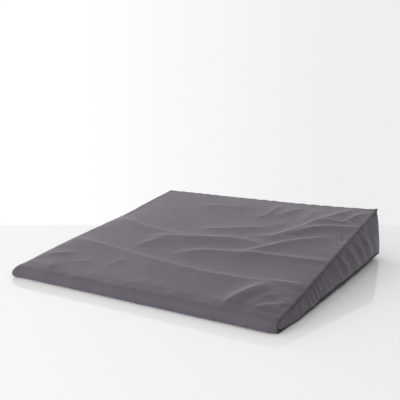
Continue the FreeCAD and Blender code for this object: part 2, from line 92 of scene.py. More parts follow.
# Lengths of the section's stretches: the slope, the upper nose arc, the short front, and the arc under it
NOSE_TURN = math.pi / 2 - PITCH
ARC_REACH = NOSE_TOP_RADIUS * math.tan(NOSE_TURN / 2)
SLOPE_LENGTH = DEPTH / math.cos(PITCH) - ARC_REACH
ARC_LENGTH = NOSE_TOP_RADIUS * NOSE_TURN
FRONT_LENGTH = NOSE_HEIGHT - ARC_REACH - NOSE_BOTTOM_RADIUS
UNDER_LENGTH = NOSE_BOTTOM_RADIUS * math.pi / 2
FRONT_MIDDLE = SLOPE_LENGTH + ARC_LENGTH + FRONT_LENGTH / 2
SECTION_LENGTH = SLOPE_LENGTH + ARC_LENGTH + FRONT_LENGTH + UNDER_LENGTH
LOWER_LENGTH = FRONT_LENGTH / 2 + UNDER_LENGTH


# ---------------------------------------------------------------- small tools

def wander(t, wavelength, seed):
    """A smooth random curve: the mean of seven sine waves whose lengths lie round the given one."""
    rng = np.random.default_rng(seed)
    t = np.asarray(t, float)
    total = np.zeros_like(t)
    for _ in range(7):
        length = wavelength * rng.uniform(0.55, 1.9)
        total += np.sin(2 * math.pi * t / length + rng.uniform(0, 2 * math.pi))
    return total / 3.2


def ease(t):
    """Smooth step from 0 to 1: three t squared less two t cubed."""
    t = np.clip(t, 0, 1)
    return t * t * (3 - 2 * t)


def spaced(start, end, step):
    """Even values from start to end, about one step apart."""
    return np.linspace(start, end, max(2, int(round(abs(end - start) / step)) + 1))


def new_object(name, data):
    """A new object with the given data, linked to the scene."""
    piece = bpy.data.objects.new(name, data)
    bpy.context.scene.collection.objects.link(piece)
    return piece


def grid_quads(index, flip=False):
    """The corner numbers of every cell of a grid of numbers, or of several grids in one array."""
    a, b = index[..., :-1, :-1], index[..., :-1, 1:]
    c, d = index[..., 1:, 1:], index[..., 1:, :-1]
    return np.stack([a, d, c, b] if flip else [a, b, c, d], axis=-1).reshape(-1, 4)


def mesh_from_grid(name, points, uv, material, flip=False, wrap=False):
    """A quad mesh over a grid of points, in millimetres, with its UV in metres of cloth."""
    rows, cols = points.shape[:2]
    index = np.arange(rows * cols).reshape(rows, cols)
    if wrap:
        index = np.concatenate([index, index[:, :1]], axis=1)
        uv = np.concatenate([uv, uv[:, :1]], axis=1)
    quads = grid_quads(index, flip)
    uv_quads = grid_quads(np.arange(uv.shape[0] * uv.shape[1]).reshape(uv.shape[:2]), flip).ravel()
    mesh = bpy.data.meshes.new(name)
    mesh.vertices.add(rows * cols)
    mesh.vertices.foreach_set("co", (points.reshape(-1, 3) * 0.001).astype(np.float32).ravel())
    mesh.loops.add(quads.size)
    mesh.loops.foreach_set("vertex_index", quads.ravel().astype(np.int32))
    mesh.polygons.add(len(quads))
    mesh.polygons.foreach_set("loop_start", np.arange(0, quads.size, 4, dtype=np.int32))
    mesh.polygons.foreach_set("use_smooth", np.ones(len(quads), bool))
    layer = mesh.uv_layers.new(name="cloth")
    layer.data.foreach_set("uv", uv.reshape(-1, 2)[uv_quads].astype(np.float32).ravel())
    mesh.update(calc_edges=True)
    mesh.validate()
    mesh.materials.append(material)
    piece = new_object(name, mesh)
    return piece


def thicken(piece, thickness=CLOTH):
    """Gives a cloth surface its thickness, on its inner side."""
    solid = piece.modifiers.new("cloth thickness", "SOLIDIFY")
    solid.thickness = thickness * 0.001
    solid.offset = -1
    solid.use_rim = True
    return piece


# ---------------------------------------------------------------- the mat's outer form

def profile(s):
    """The outer section by length of cloth s from the rear top edge: slope, nose arc, front, lower arc.

    Gives y, z and the outward normal's y and z. Past either end the line stops at the end point.
    """
    s = np.asarray(s, float)
    cos_p, sin_p = math.cos(PITCH), math.sin(PITCH)
    on_slope = np.clip(s, 0, SLOPE_LENGTH)
    angle = PITCH + np.clip(s - SLOPE_LENGTH, 0, ARC_LENGTH) / NOSE_TOP_RADIUS
    down = np.clip(s - SLOPE_LENGTH - ARC_LENGTH, 0, FRONT_LENGTH)
    under = np.clip(s - SLOPE_LENGTH - ARC_LENGTH - FRONT_LENGTH, 0, UNDER_LENGTH) / NOSE_BOTTOM_RADIUS
    y = REAR - on_slope * cos_p - NOSE_TOP_RADIUS * (np.sin(angle) - sin_p)
    z = HEIGHT - on_slope * sin_p - NOSE_TOP_RADIUS * (cos_p - np.cos(angle)) - down
    y = y + NOSE_BOTTOM_RADIUS * (1 - np.cos(under))
    z = z - NOSE_BOTTOM_RADIUS * np.sin(under)
    facing = angle + under
    return y, z, -np.sin(facing), np.cos(facing)


def top_line_shift(y, right):
    """How far the top side seam lies outside the CAD side: the cover leans in towards the tall rear."""
    along = ease((y - NOSE) / DEPTH * 1.25)
    lean = -5.5 if right else -2.0
    near_end = ease((REAR - y) / 30)
    return lean * along * (0.65 + 0.35 * near_end) + 0.5 * wander(y, 70, 11 if right else 12)


def hem_line_shift(y, right):
    """How far the hem at the floor lies outside the CAD side: it swells between the nose and the rear."""
    middle = 1 - (2 * y / DEPTH) ** 2
    along = ease((y - NOSE) / 90)
    flare = 3.0 * ease((y - 150) / 135)
    swell = along * (3.0 + 4.0 * middle + flare)
    return swell * (1.0 if right else 0.7) + 0.5 * along * wander(y, 60, 13 if right else 14)


def rear_end_shift(z, right):
    """How far an end of the rear wall lies outside the CAD side at a height.

    It goes evenly from the hem's shift to that of the top seam.
    """
    share = np.clip((z - HEM_HEIGHT) / (HEIGHT - HEM_HEIGHT), 0, 1)
    at_rear = np.full_like(z, REAR)
    return top_line_shift(at_rear, right) * share + hem_line_shift(at_rear, right) * (1 - share)


def hem_height(y, right):
    """Height of the hem over the floor: low at the nose, highest past the middle, and wavy."""
    climb = 5.5 * ease((y - NOSE - 60) / 200)
    rear_dip = 2.5 * ease((y - 150) / 135)
    nose_dip = 3.0 * (1 - ease((y - NOSE - 50) / 130))
    rise = climb - rear_dip - nose_dip
    return HEM_HEIGHT + rise * (1.0 if right else 0.6) + 1.3 * wander(y, 62, 17 if right else 18)


def corner_lift(x, y):
    """The right rear corner stands a little off the floor: a bell of height 6.5 over the corner."""
    return 6.5 * np.exp(-((SIDE - x) / 80) ** 2 - ((REAR - y) / 90) ** 2)


# ---------------------------------------------------------------- folds

def smooth_path(points, step=2.5):
    """Points every step along straight runs between the given ones, then averaged with a bell of 3 steps.

    A line too short for its ends to be mirrored in their end points is held at its ends instead.
    """
    reach = 9
    points = np.array(points, float)
    runs = np.hypot(*np.diff(points[:, :2], axis=0).T)
    along = np.concatenate([[0], np.cumsum(runs)])
    count = max(6, int(along[-1] / step))
    t = np.linspace(0, along[-1], count)
    line = np.stack([np.interp(t, along, points[:, k]) for k in range(points.shape[1])], axis=1)
    bell = np.exp(-0.5 * (np.arange(-reach, reach + 1) / 3.0) ** 2)
    bell /= bell.sum()
    if count > reach + 1:
        before = 2 * line[:1] - line[reach:0:-1]
        after = 2 * line[-1:] - line[-2:-2 - reach:-1]
        padded = np.concatenate([before, line, after])
    else:
        padded = np.pad(line, ((reach, reach), (0, 0)), mode="edge")
    return np.stack([np.convolve(padded[:, k], bell, mode="valid") for k in range(line.shape[1])], axis=1)


def fold_relief(px, py, folds):
    """Height of a cloth with folds.

    Each fold is a path of (x, y, height) with a front width, a back width and a power p. To the right of the
    path, its front, the cloth falls from the crest as exp(-(d/width)^p), and behind it as exp(-d/width), with
    d = sqrt(distance^2 + r^2) - r for a crest of radius r.
    """
    crest_radius = 1.2
    shape = px.shape
    px, py = px.ravel(), py.ravel()
    height = np.zeros_like(px)
    for path, front, back, power in folds:
        line = smooth_path(path)
        margin = 3.4 * max(front, back)
        near = np.nonzero((px > line[:, 0].min() - margin) & (px < line[:, 0].max() + margin)
                          & (py > line[:, 1].min() - margin) & (py < line[:, 1].max() + margin))[0]
        if not len(near):
            continue
        tangent = np.gradient(line[:, :2], axis=0)
        dx = px[near, None] - line[None, :, 0]
        dy = py[near, None] - line[None, :, 1]
        gap = dx * dx + dy * dy
        best = gap.argmin(axis=1)
        row = np.arange(len(near))
        side = tangent[best, 0] * dy[row, best] - tangent[best, 1] * dx[row, best]
        distance = np.sqrt(gap[row, best] + crest_radius ** 2) - crest_radius
        width = np.where(side > 0, back, front)
        steep = np.where(side > 0, 1.0, power)
        height[near] += line[best, 2] * np.exp(-(distance / width) ** steep)
    return height.reshape(shape)


def scattered_folds(count, seed, x_range, y_range, length, tall, width, lean_angle, spread):
    """Small loose wrinkles: short straight folds at seeded places, most of them near one direction."""
    rng = np.random.default_rng(seed)
    folds = []
    for _ in range(count):
        x, y = rng.uniform(*x_range), rng.uniform(*y_range)
        angle = math.radians(lean_angle + rng.normal(0, spread))
        reach = rng.uniform(*length) / 2
        bend = rng.normal(0, 0.18) * reach
        dx, dy = reach * math.cos(angle), reach * math.sin(angle)
        rise = rng.uniform(*tall)
        w = rng.uniform(*width)
        middle = (x - bend * math.sin(angle), y + bend * math.cos(angle), rise)
        path = [(x - dx, y - dy, 0), middle, (x + dx, y + dy, 0)]
        folds.append((path, w * rng.uniform(1.0, 2.2), w, 1.2))
    return folds


# The folds of the top, as (x, y, height), then their front width, back width and power. The front is on the
# right of the path's direction.
TOP_FOLDS = [
    # the long crease across the whole panel
    ([(-299, -115, 2.0), (-276, -118, 4.2), (-190, -128, 4.6), (-105, -145, 4.8), (-20, -159, 5.8),
      (35, -168, 5.8), (110, -174, 5.2), (200, -170, 4.8), (270, -157, 4.4), (299, -148, 2.0)], 56, 10, 1.0),
    # the crease from the left seam, and the deep fold that goes on from it
    ([(-299, 42, 2.0), (-278, 35, 4.6), (-207, 13, 5.4), (-175, -1, 5.6), (-139, -6, 4.8), (-96, -10, 3.0),
      (-50, -8, 0)], 42, 10, 1.0),
    ([(-132, -48, 0), (-85, -33, 4.8), (-43, -26, 6.4), (0, -14, 6.6), (62, 0, 6.2), (92, 0, 5.4),
      (128, -6, 4.0), (160, 2, 0)], 34, 13, 1.5),
    ([(-122, -118, 0), (-114, -87, 2.6), (-99, -68, 2.6), (-92, -35, 0)], 18, 9, 1.1),
    # the fold in the middle, and its branch
    ([(-16, -119, 0), (0, -101, 4.0), (26, -83, 5.0), (65, -73, 5.0), (127, -63, 5.2), (197, -55, 5.2),
      (262, -48, 4.8), (299, -42, 2.0)], 28, 10, 1.2),
    ([(112, -61, 0), (130, -46, 3.6), (147, -32, 5.2), (160, -13, 5.6), (173, 10, 5.6), (205, 41, 4.8),
      (241, 68, 3.0), (270, 84, 0)], 26, 10, 1.3),
    # the two long folds that climb to the right rear corner
    ([(78, 26, 0), (133, 39, 4.0), (148, 56, 5.0), (166, 84, 5.6), (179, 111, 5.6), (186, 148, 5.4),
      (208, 192, 5.0), (233, 237, 4.4), (248, 278, 1.0)], 26, 11, 1.3),
    ([(168, 58, 0), (192, 95, 5.0), (210, 117, 5.8), (231, 131, 5.8), (254, 138, 5.0), (299, 154, 2.0)],
     24, 9, 1.3),
    ([(195, 168, 0), (222, 174, 3.4), (245, 170, 3.4), (282, 178, 0)], 14, 7, 1.2),
    ([(250, 160, 0), (268, 216, 4.8), (280, 262, 0)], 16, 8, 1.2),
    # shallow folds at the rear
    ([(-52, 32, 0), (-20, 41, 3.0), (33, 60, 3.6), (66, 79, 3.4), (99, 86, 2.2), (128, 88, 0)], 26, 12, 1.1),
    ([(60, 168, 0), (66, 190, 2.8), (64, 217, 3.2), (61, 262, 0)], 15, 8, 1.2),
    ([(84, 158, 0), (99, 190, 2.8), (112, 222, 3.0), (134, 252, 0)], 18, 9, 1.2),
    ([(50, 130, 0), (58, 164, 2.6), (70, 197, 0)], 14, 8, 1.2),
    ([(160, 130, 0), (164, 168, 2.8), (163, 205, 3.0), (158, 250, 0)], 18, 10, 1.2),
    ([(112, 92, 0), (124, 118, 2.2), (136, 150, 0)], 16, 9, 1.1),
    ([(-18, 170, 0), (-22, 198, 2.6), (-29, 236, 0)], 14, 8, 1.1),
    ([(-64, 196, 0), (-52, 206, 2.0), (-20, 214, 0)], 12, 8, 1.1),
    ([(-124, 166, 0), (-106, 194, 2.0), (-55, 205, 0)], 16, 9, 1.1),
    # the deep fold near the right front corner, and the small ones round it
    ([(190, -288, 0), (197, -260, 6.6), (204, -238, 9.4), (213, -216, 9.4), (223, -193, 7.0), (233, -168, 0)],
     26, 13, 1.8),
    ([(234, -268, 0), (242, -244, 2.4), (255, -210, 2.4), (274, -198, 0)], 12, 7, 1.1),
    ([(239, -296, 0), (246, -277, 3.6), (252, -259, 4.4), (264, -249, 4.4), (283, -235, 3.8),
      (299, -220, 1.2)], 19, 8, 1.2),
    ([(175, -303, 0), (184, -280, 2.4), (194, -259, 0)], 12, 7, 1.1),
    ([(150, -312, 0), (147, -295, 3.0), (150, -281, 2.4), (164, -265, 0)], 13, 8, 1.1),
    ([(69, -301, 0), (80, -279, 2.2), (95, -249, 0)], 12, 7, 1.1),
    ([(-294, -210, 0.8), (-264, -203, 3.4), (-244, -195, 3.2), (-234, -176, 0)], 16, 7, 1.2),
    ([(-212, -294, 0), (-228, -258, 3.4), (-248, -214, 0)], 24, 16, 1.4),
    ([(-168, -296, 0), (-146, -278, 3.0), (-124, -262, 0)], 16, 8, 1.2),
    ([(-196, -226, 0), (-178, -214, 2.0), (-152, -206, 0)], 16, 8, 1.1),
    ([(-128, -278, 0), (-112, -262, 2.0), (-92, -246, 0)], 14, 8, 1.1),
    # the short sewn tack at the right seam: a narrow groove with a crossing one
    ([(278, 80, 0), (285, 78, -2.6), (294, 76, -2.6), (299, 75, -1.6)], 3.0, 3.0, 1.6),
    ([(275, 108, 0), (280, 96, -2.0), (289, 72, -2.0), (295, 58, 0)], 2.8, 2.8, 1.6),
]
TOP_FOLDS += scattered_folds(46, 5, (-285, 190), (-285, -150), (18, 60), (0.3, 0.9), (4, 8), 35, 30)
TOP_FOLDS += scattered_folds(30, 6, (-260, 280), (-140, 270), (22, 70), (0.2, 0.6), (5, 9), 10, 28)
TOP_FOLDS += scattered_folds(36, 8, (-285, 285), (-318, -262), (16, 38), (0.6, 1.5), (4, 8), 68, 26)
TOP_FOLDS += scattered_folds(26, 7, (-40, 285), (190, 285), (14, 44), (0.4, 1.0), (3, 6), 70, 18)


def seam_puckers(along, away, seed, tall=0.8, reach=11.0, wavelength=15.0):
    """Fine gathers that run away from a seam: a random wave along it that fades by exp(-distance/reach)."""
    wave = wander(along, wavelength, seed) + 0.4 * wander(along, wavelength * 0.45, seed + 1)
    return tall * wave * np.exp(-np.clip(away, 0, None) / reach)


# ---------------------------------------------------------------- cloth panels

def edge_steps(roll, allowance=8.0):
    """The line of cloth at a seam, from its hidden end to the flat panel, as inset and drop.

    A quarter circle takes it from flat to square, a small arc turns it under, and then it goes on inwards at
    45 degrees for the seam allowance.
    """
    theta = np.radians([90, 72, 54, 36, 18, 0])
    inset = roll * (1 - np.sin(theta))
    drop = roll * (1 - np.cos(theta))
    phi = np.radians([45, 22])
    turn = 0.9
    inset_in = turn * (1 - np.cos(phi))
    drop_in = roll + turn * np.sin(phi)
    tail = np.array([1.0, 0.45, 0.15]) * allowance * 0.707
    return (np.concatenate([inset_in[0] + tail, inset_in, inset]),
            np.concatenate([drop_in[0] + tail, drop_in, drop]))


def with_edges(values, roll_low, roll_high, allowance=8.0):
    """Grid lines of a panel along one direction, with both seam edges: position, drop and cloth length."""
    low_end, high_end = values[0], values[-1]
    inset_a, drop_a = edge_steps(roll_low, allowance)
    inset_b, drop_b = edge_steps(roll_high, allowance)
    inner = values[(values > low_end + roll_low + 0.6) & (values < high_end - roll_high - 0.6)]
    place = np.concatenate([low_end + inset_a, inner, high_end - inset_b[::-1]])
    drop = np.concatenate([drop_a, np.zeros(len(inner)), drop_b[::-1]])
    length = np.concatenate([[0], np.cumsum(np.hypot(np.diff(place), np.diff(drop)))])
    return place, drop, length


def joined_drop(a, b):
    """Where two rolled edges meet at a corner, the drop is the cube root of the sum of their cubes."""
    return np.cbrt(a ** 3 + b ** 3)


def nose_corner(x, s):
    """How the two nose corners leave the straight form, as shifts in x and y by a bell over each corner.

    The right corner is rounded off, and the left one puffs out as a small ear.
    """
    right = np.exp(-((SIDE - x) / 11) ** 2 - ((s - FRONT_MIDDLE) / 20) ** 2)
    left = np.exp(-((SIDE + x) / 15) ** 2 - ((s - FRONT_MIDDLE) / 17) ** 2)
    return -3.5 * right - 9.0 * left, 4.0 * right - 5.0 * left


def top_panel(material):
    """The sloping sheet: the section carried across the width, with its folds, sag and rolled seams."""
    x_lines = np.concatenate([spaced(-SIDE, -262, 2.4), spaced(-259, 259, 3.5), spaced(262, SIDE, 2.4)])
    s_lines = np.concatenate([spaced(0, SLOPE_LENGTH, 2.35), spaced(SLOPE_LENGTH + 1.8, SECTION_LENGTH, 1.7)])
    x, x_drop, x_length = with_edges(x_lines, OVER_ROLL, OVER_ROLL)
    s, s_drop, s_length = with_edges(s_lines, OVER_ROLL, 1.4)
    x, s_grid = np.meshgrid(x, s)
    x_drop, s_drop = np.meshgrid(x_drop, s_drop)
    y, z, ny, nz = profile(s_grid)
    on_slope = ease((SLOPE_LENGTH + 4 - s_grid) / 22)
    flat_y = REAR - s_grid * math.cos(PITCH)

    side_gap = SIDE - np.abs(x)
    relief = fold_relief(x, flat_y, TOP_FOLDS)
    relief += seam_puckers(s_grid, side_gap, 21, 0.75, 13) * np.where(x > 0, 1, 0.8)
    relief += seam_puckers(s_grid, side_gap, 25, 0.55, 26, 58) * np.where(x > 0, 1, 0.6)
    relief += seam_puckers(x, s_grid, 31, 0.7, 12, 19)
    relief += seam_puckers(x, SECTION_LENGTH - s_grid, 35, 0.5, 9, 13)
    relief += 0.9 * wander(x * 0.9 + s_grid * 0.3, 260, 41) * wander(s_grid - 0.2 * x, 210, 42)
    relief += 0.25 * wander(x + 0.6 * s_grid, 46, 43) * wander(s_grid - 0.5 * x, 38, 44)
    nose_crease = np.exp(-((x - 14 - 0.5 * (s_grid - FRONT_MIDDLE)) / 5.0) ** 2)
    relief += 1.3 * nose_crease * ease((s_grid - SLOPE_LENGTH + 14) / 12)

    # the cloth is held down at its seams, and sags a little at the rear edge
    hold = ease(side_gap / 16) * 0.75 + 0.25
    relief *= hold * (0.5 + 0.5 * on_slope)
    relief += 1.0 * ease(side_gap / 60) * ease(s_grid / 60) * on_slope
    left_wave = 3.4 * np.exp(-((flat_y - 70) / 90) ** 2) - 1.0 * np.exp(-((flat_y + 150) / 60) ** 2)
    relief -= left_wave * np.exp(-((SIDE + x) / 40) ** 2)
    sag = -(1.0 + 2.6 * np.exp(-((x - 70) / 120) ** 2)) * (1 - (x / SIDE) ** 2) * np.exp(-s_grid / 70)
    ear = 3.4 * np.exp(-((SIDE - x) / 9) ** 2 - (s_grid / 9) ** 2)
    ear += 0.3 * np.exp(-((SIDE + x) / 9) ** 2 - (s_grid / 9) ** 2)
    relief += sag + ear

    drop = np.minimum(joined_drop(x_drop, s_drop), 6.0 + 40 * on_slope)
    out = relief - drop
    shift = np.where(x > 0, top_line_shift(flat_y, True), top_line_shift(flat_y, False)) * on_slope
    spread = np.sign(x) * shift * np.clip(np.abs(x) / SIDE, 0, 1) ** 6
    corner_x, corner_y = nose_corner(x, s_grid)
    height = np.maximum(z + nz * out, TOP_FLOOR_GAP)
    points = np.stack([x + spread + corner_x, y + ny * out + corner_y, height], axis=-1)
    uv = np.stack(np.meshgrid(x_length * 0.001, s_length * 0.001), axis=-1)
    piece = mesh_from_grid("cover_top_cloth", points, uv, material)
    return thicken(piece)


# The folds of a gusset, as (y, z, height), then their front width, back width and power
GUSSET_FOLDS = [
    ([(-70, 46, 0), (-54, 30, 2.6), (-42, 10, 0)], 12, 8, 1.3),
    ([(-34, 60, 0), (-10, 40, 4.4), (12, 14, 2.6)], 16, 9, 1.4),
    ([(6, 66, 0), (28, 44, 5.2), (50, 16, 3.4)], 17, 9, 1.4),
    ([(52, 70, 0), (80, 50, 6.0), (118, 16, 3.6)], 20, 10, 1.4),
    ([(100, 78, 0), (130, 54, 6.0), (164, 16, 3.8)], 18, 10, 1.4),
    ([(146, 84, 0), (176, 56, 6.6), (208, 16, 3.6)], 21, 11, 1.4),
    ([(206, 84, 0), (232, 56, 5.0), (258, 22, 2.0)], 20, 11, 1.4),
    ([(250, 100, 0.5), (264, 76, 3.0), (276, 36, 0)], 16, 10, 1.3),
    ([(-165, 34, 0.8), (-160, 24, 2.2), (-152, 8, 1.6)], 5.0, 3.2, 1.4),
    ([(-150, 36, 0.8), (-144, 24, 2.6), (-136, 8, 1.8)], 5.4, 3.4, 1.4),
    ([(-134, 38, 0.8), (-127, 26, 2.6), (-118, 9, 1.8)], 5.6, 3.6, 1.4),
    ([(-116, 40, 0.6), (-108, 26, 2.2), (-100, 10, 1.2)], 5.8, 3.8, 1.4),
    ([(-200, 30, 0.5), (-194, 20, 1.6), (-186, 9, 0.8)], 6, 4, 1.3),
    ([(-232, 24, 0.4), (-226, 16, 1.3), (-219, 9, 0.6)], 6, 4, 1.3),
    ([(-96, 24, 0), (-84, 20, 2.4), (-66, 17, 0)], 5, 3.4, 1.3),
]
GUSSET_FOLDS += scattered_folds(22, 9, (-230, 275), (10, 60), (14, 34), (0.3, 0.9), (3, 6), -50, 16)


def gusset(right, material):
    """The tapering side wall: lines that join its lower edge to its upper edge fan out from the nose.

    Each edge is the outer section moved in by the tuck of the seam. The wall swells towards the hem, and its
    folds stand out from it. The left wall's folds are the right one's, moved along a little and lower.
    """
    length = FRONT_MIDDLE - 2.0
    a_lines = np.concatenate([spaced(0, 40, 1.6), spaced(43, length, 2.9)])
    a, a_drop, a_length = with_edges(a_lines, TUCK_ROLL, OVER_ROLL, 6.0)
    v_lines = np.linspace(0, 1, 34)
    v_in, v_drop, _ = with_edges(np.array([0.0, 200.0]), TUCK_ROLL, TUCK_ROLL, 6.0)
    edge = len(v_in) // 2
    inset, drop_v = v_in[:edge], v_drop[:edge]

    y_top, z_top, ny, nz = profile(FRONT_MIDDLE - a)
    y_top, z_top = y_top - ny * TUCK, z_top - nz * TUCK
    y_low, z_low, ny, nz = profile(FRONT_MIDDLE + np.clip(a, 0, LOWER_LENGTH))
    y_low, z_low = y_low - ny * TUCK, z_low - nz * TUCK
    start = y_low[np.searchsorted(a, LOWER_LENGTH)]
    rest = np.clip((a - LOWER_LENGTH) / (length - LOWER_LENGTH), 0, 1)
    y_low = np.where(a > LOWER_LENGTH, start + rest * (REAR - start), y_low)
    hem = hem_height(y_low, right) - TUCK + 1.0 + (corner_lift(SIDE, y_low) if right else 0)
    z_low = z_low + ease(a / 60) * hem
    height = np.maximum(np.hypot(y_top - y_low, z_top - z_low), 0.05)

    tucked = np.minimum(TUCK_ROLL * 1.4 / height, 0.46)[None, :]
    share = np.concatenate([np.minimum(inset[:, None] / height[None, :], 0.45),
                            tucked + (1 - 2 * tucked) * v_lines[:, None],
                            1 - np.minimum(inset[::-1][:, None] / height[None, :], 0.45)])
    drop_v = np.concatenate([drop_v, np.zeros(len(v_lines)), drop_v[::-1]])
    y = y_low[None, :] + (y_top - y_low)[None, :] * share
    z = z_low[None, :] + (z_top - z_low)[None, :] * share
    drop = np.minimum(joined_drop(drop_v[:, None], a_drop[None, :]), 6.0)

    belly = top_line_shift(y, right) * share + hem_line_shift(y, right) * (1 - share)
    belly += 1.6 * np.sin(math.pi * share) * ease((y - NOSE) / 160)
    belly += 2.6 * wander(y + 0.7 * z, 78, 57) * np.sin(math.pi * share) * ease((y + 120) / 140)
    folds = GUSSET_FOLDS
    if not right:
        folds = [([(y0 * 0.94 + 9, z0, h * 0.85) for y0, z0, h in path], *form)
                 for path, *form in GUSSET_FOLDS]
    free = ease(np.minimum(share, 1 - share) * height[None, :] / 7)
    relief = fold_relief(y, z, folds) * (0.25 + 0.75 * free)
    past_nose = ease((y - NOSE) / 60)
    seed_step = 0 if right else 1
    relief += seam_puckers(y, share * height[None, :], 51 + seed_step, 0.7, 9, 13) * past_nose
    relief += seam_puckers(y, (1 - share) * height[None, :], 53 + seed_step, 0.55, 8, 15) * past_nose
    corner_x, corner_y = nose_corner(SIDE if right else -SIDE, FRONT_MIDDLE - a[None, :])
    out = SIDE + belly * ease((y - NOSE) / 40) + relief * 1.35 - drop
    x = out if right else -out
    points = np.stack([x + corner_x, y + corner_y, np.maximum(z, GUSSET_FLOOR_GAP)], axis=-1)
    along = np.broadcast_to(a_length[None, :], share.shape)
    uv = np.stack([along * 0.001, share * height[None, :] * 0.001], axis=-1)
    name = "cover_right_cloth" if right else "cover_left_cloth"
    piece = mesh_from_grid(name, points, uv, material, flip=not right)
    return thicken(piece)


# The folds of the rear wall, as (x, z, height), then their front width, back width and power
REAR_FOLDS = [
    ([(-270, 96, 0), (-236, 84, 1.6), (-190, 78, 0)], 10, 7, 1.2),
    ([(-120, 102, 0), (-90, 90, 1.5), (-44, 84, 0)], 10, 7, 1.2),
    ([(20, 78, 0), (64, 86, 1.8), (118, 98, 0)], 10, 7, 1.2),
    ([(150, 104, 0), (196, 92, 1.8), (250, 76, 0)], 10, 7, 1.2),
    ([(-250, 18, 0), (-200, 26, 1.6), (-140, 38, 0)], 10, 7, 1.2),
    ([(-60, 38, 0), (-10, 28, 1.7), (60, 20, 0)], 10, 7, 1.2),
    ([(110, 16, 0), (160, 26, 1.7), (226, 36, 0)], 10, 7, 1.2),
]
REAR_FOLDS += scattered_folds(26, 15, (-285, 285), (12, 100), (12, 34), (0.3, 0.8), (3, 6), 84, 14)


def rear_relief(x, z, z_low, z_high):
    """How far a rear strip stands out: its folds, and the gathers along its seam and its zip edge."""
    edge_gap = np.minimum(z - z_low, z_high - z)
    relief = fold_relief(x, z, REAR_FOLDS) * ease(edge_gap / 9) * ease((SIDE - np.abs(x)) / 20)
    seam, zip_edge = (z_high, z_low) if z_high > HEIGHT / 2 else (z_low, z_high)
    relief += seam_puckers(x, np.abs(z - seam), 61 + int(z_low), 0.6, 8, 15)
    return relief + seam_puckers(x, np.abs(z - zip_edge), 71 + int(z_low), 0.28, 10, 22)


def rear_strip(name, z_low, z_high, low_roll, high_roll, material):
    """A strip of the rear wall: a plane with rolled edges, shallow folds, and gathers along its seams."""
    x_end = SIDE - STRIP_END_INSET
    x_lines = np.concatenate([spaced(-x_end, -280, 1.5), spaced(-277, 277, 3.0), spaced(280, x_end, 1.5)])
    z_lines = spaced(z_low, z_high, 1.6)
    x, x_drop, x_length = with_edges(x_lines, TUCK_ROLL, TUCK_ROLL, 6.0)
    z, z_drop, z_length = with_edges(z_lines, low_roll, high_roll, 7.0)
    x, z = np.meshgrid(x, z)
    drop = np.minimum(joined_drop(*np.meshgrid(x_drop, z_drop)), 5.0)
    relief = rear_relief(x, z, z_low, z_high)
    zip_edge = z_low if z_high > HEIGHT / 2 else z_high
    sag = -3.0 * (1 - (x / SIDE) ** 2) * ease((z - 70) / 44)
    end_shift = np.where(x > 0, rear_end_shift(z, True), rear_end_shift(z, False))
    spread = end_shift * (np.abs(x) / SIDE) ** 8 * np.sign(x)

    near_zip = np.clip(1 - np.abs(z - zip_edge) / CLOSING_REACH, 0, 1) ** 2
    past_zip = ease((np.abs(x) - CLOSING_START) / CLOSING_LENGTH)
    meeting_line = ZIP_HEIGHT + (HALF_SLIT if zip_edge > ZIP_HEIGHT else -HALF_SLIT)
    z = z + (meeting_line - zip_edge) * near_zip * past_zip
    lift = corner_lift(x, REAR) * ease((ZIP_HEIGHT - z) / ZIP_HEIGHT)
    points = np.stack([x + spread, REAR + relief - drop + STRIP_STANDOFF, z + sag + lift], axis=-1)
    uv = np.stack(np.meshgrid(x_length * 0.001, z_length * 0.001), axis=-1)
    piece = mesh_from_grid(name, points, uv, material, flip=True)
    return thicken(piece)


def base_panel(material):
    """The underside: a flat sheet whose edges turn up round the bottom of the foam to the hem."""
    y_front = NOSE + NOSE_BOTTOM_RADIUS + 0.4
    roll = HEM_HEIGHT - 1.0
    x_lines, y_lines = spaced(-SIDE, SIDE, 5.0), spaced(y_front, REAR, 4.0)
    x, x_drop, x_length = with_edges(x_lines, roll, roll, 6.0)
    y, y_drop, y_length = with_edges(y_lines, 1.2, roll, 6.0)
    x, y = np.meshgrid(x, y)
    x_drop, y_drop = np.meshgrid(x_drop, y_drop)
    x_drop = x_drop * np.where(x > 0, hem_height(y, True), hem_height(y, False)) / HEM_HEIGHT
    shift = np.where(x > 0, hem_line_shift(y, True), hem_line_shift(y, False)) * ease((y - NOSE) / 40) - 0.3
    spread = np.sign(x) * shift * (np.abs(x) / SIDE) ** 6
    wave = 0.25 + 0.04 * wander(x, 80, 81) * wander(y, 90, 82)
    # The edges turn up to the hem's height, so the near-black cloth shows as a dark band under each side
    # wall: painted shade along the hem.
    z = np.maximum(wave, 0.05) + joined_drop(x_drop, y_drop) + corner_lift(x, y)
    points = np.stack([x + spread, y, z], axis=-1)
    uv = np.stack(np.meshgrid(x_length * 0.001, y_length * 0.001), axis=-1)
    piece = mesh_from_grid("cover_base_cloth", points, uv, material, flip=True)
    return thicken(piece)


